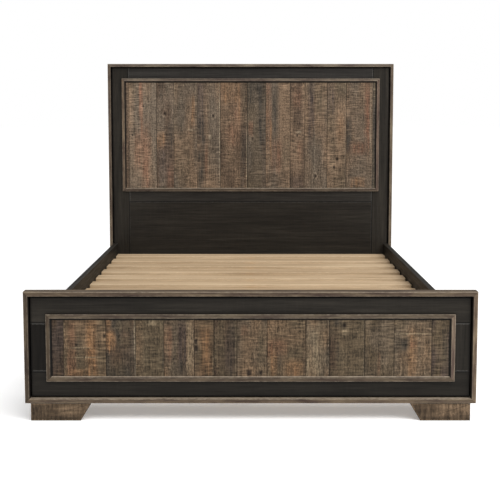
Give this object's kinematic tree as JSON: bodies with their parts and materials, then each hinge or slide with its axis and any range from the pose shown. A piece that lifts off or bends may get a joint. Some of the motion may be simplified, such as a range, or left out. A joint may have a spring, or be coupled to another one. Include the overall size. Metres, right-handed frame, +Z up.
{
  "type": "bed frame",
  "caption": "Bed frame with a high framed headboard and a low framed footboard, upright planks inside mitred mouldings, side rails that hook on and a slatted base.",
  "frame": {"origin": "on the floor, under the middle of the bed's length and width", "axes": "+Z up, -Y towards the footboard's face, +Y towards the headboard, +X to the right as seen from the foot end"},
  "size_m": [1.62, 2.166, 1.375],
  "materials": {
    "plank_wood": "reclaimed-look planks, grey-brown with rust, olive and charcoal streaks, saw marks, dull lacquer",
    "moulding_wood": "grey-brown with lengthwise grain and paler rubbed edges, dull lacquer",
    "dark_wood": "charcoal stain, faint lengthwise grain, satin",
    "foot_wood": "grey-brown with fine upright ribs, dull lacquer",
    "backing_wood": "dark stained plywood and posts, matt",
    "pine_wood": "planed pine, unfinished",
    "zinc_steel": "zinc plated",
    "black_nylon": "black nylon"
  },
  "bodies": {
    "frame": {"headboard_left_post": "backing_wood", "headboard_right_post": "backing_wood", "headboard_left_stile": "dark_wood", "headboard_right_stile": "dark_wood", "headboard_top_rail": "dark_wood", "headboard_bottom_rail": "dark_wood", "headboard_lower_panel": "dark_wood", "headboard_core_panel": "dark_wood", "headboard_back_panel": "backing_wood", "headboard_planks": "plank_wood", "headboard_top_moulding": "moulding_wood", "headboard_left_moulding": "moulding_wood", "headboard_right_moulding": "moulding_wood", "headboard_inner_top_moulding": "moulding_wood", "headboard_inner_bottom_moulding": "moulding_wood", "headboard_inner_left_moulding": "moulding_wood", "headboard_inner_right_moulding": "moulding_wood", "footboard_left_block": "dark_wood", "footboard_right_block": "dark_wood", "footboard_left_stile": "dark_wood", "footboard_right_stile": "dark_wood", "footboard_top_rail": "dark_wood", "footboard_bottom_rail": "dark_wood", "footboard_core_panel": "dark_wood", "footboard_back_panel": "dark_wood", "footboard_planks": "plank_wood", "footboard_top_moulding": "moulding_wood", "footboard_bottom_moulding": "moulding_wood", "footboard_left_moulding": "moulding_wood", "footboard_right_moulding": "moulding_wood", "footboard_inner_top_moulding": "moulding_wood", "footboard_inner_bottom_moulding": "moulding_wood", "footboard_inner_left_moulding": "moulding_wood", "footboard_inner_right_moulding": "moulding_wood", "left_front_foot": "foot_wood", "right_front_foot": "foot_wood", "foot_screws": "zinc_steel", "left_side_rail": "dark_wood", "right_side_rail": "dark_wood", "left_slat_ledger": "pine_wood", "right_slat_ledger": "pine_wood", "rail_hook_plates": "zinc_steel", "post_slot_plates": "zinc_steel", "plate_screws": "zinc_steel", "centre_beam": "pine_wood", "beam_brackets": "zinc_steel", "bracket_screws": "zinc_steel", "head_centre_leg": "pine_wood", "foot_centre_leg": "pine_wood", "leg_inserts": "zinc_steel", "slats": "pine_wood", "slat_screws": "zinc_steel", "ledger_screws": "zinc_steel", "leg_screws": "zinc_steel"},
    "head_leveller_pad": {"head_leveller_pad": "black_nylon"},
    "head_leveller_stem": {"head_leveller_stem": "zinc_steel"},
    "foot_leveller_pad": {"foot_leveller_pad": "black_nylon"},
    "foot_leveller_stem": {"foot_leveller_stem": "zinc_steel"}
  },
  "joints": [
    {"name": "head_leveller_rise", "type": "slide", "parent": "frame", "child": "head_leveller_stem", "axis": [0, 0, 1], "range_m": [-0.01, 0.01]},
    {"name": "head_pad_swivel", "type": "hinge", "parent": "head_leveller_stem", "child": "head_leveller_pad", "pos_m": [0, 0.34, 0.005], "axis": [0, 0, 1], "continuous": true},
    {"name": "foot_leveller_rise", "type": "slide", "parent": "frame", "child": "foot_leveller_stem", "axis": [0, 0, 1], "range_m": [-0.01, 0.01]},
    {"name": "foot_pad_swivel", "type": "hinge", "parent": "foot_leveller_stem", "child": "foot_leveller_pad", "pos_m": [0, -0.34, 0.005], "axis": [0, 0, 1], "continuous": true}
  ]
}
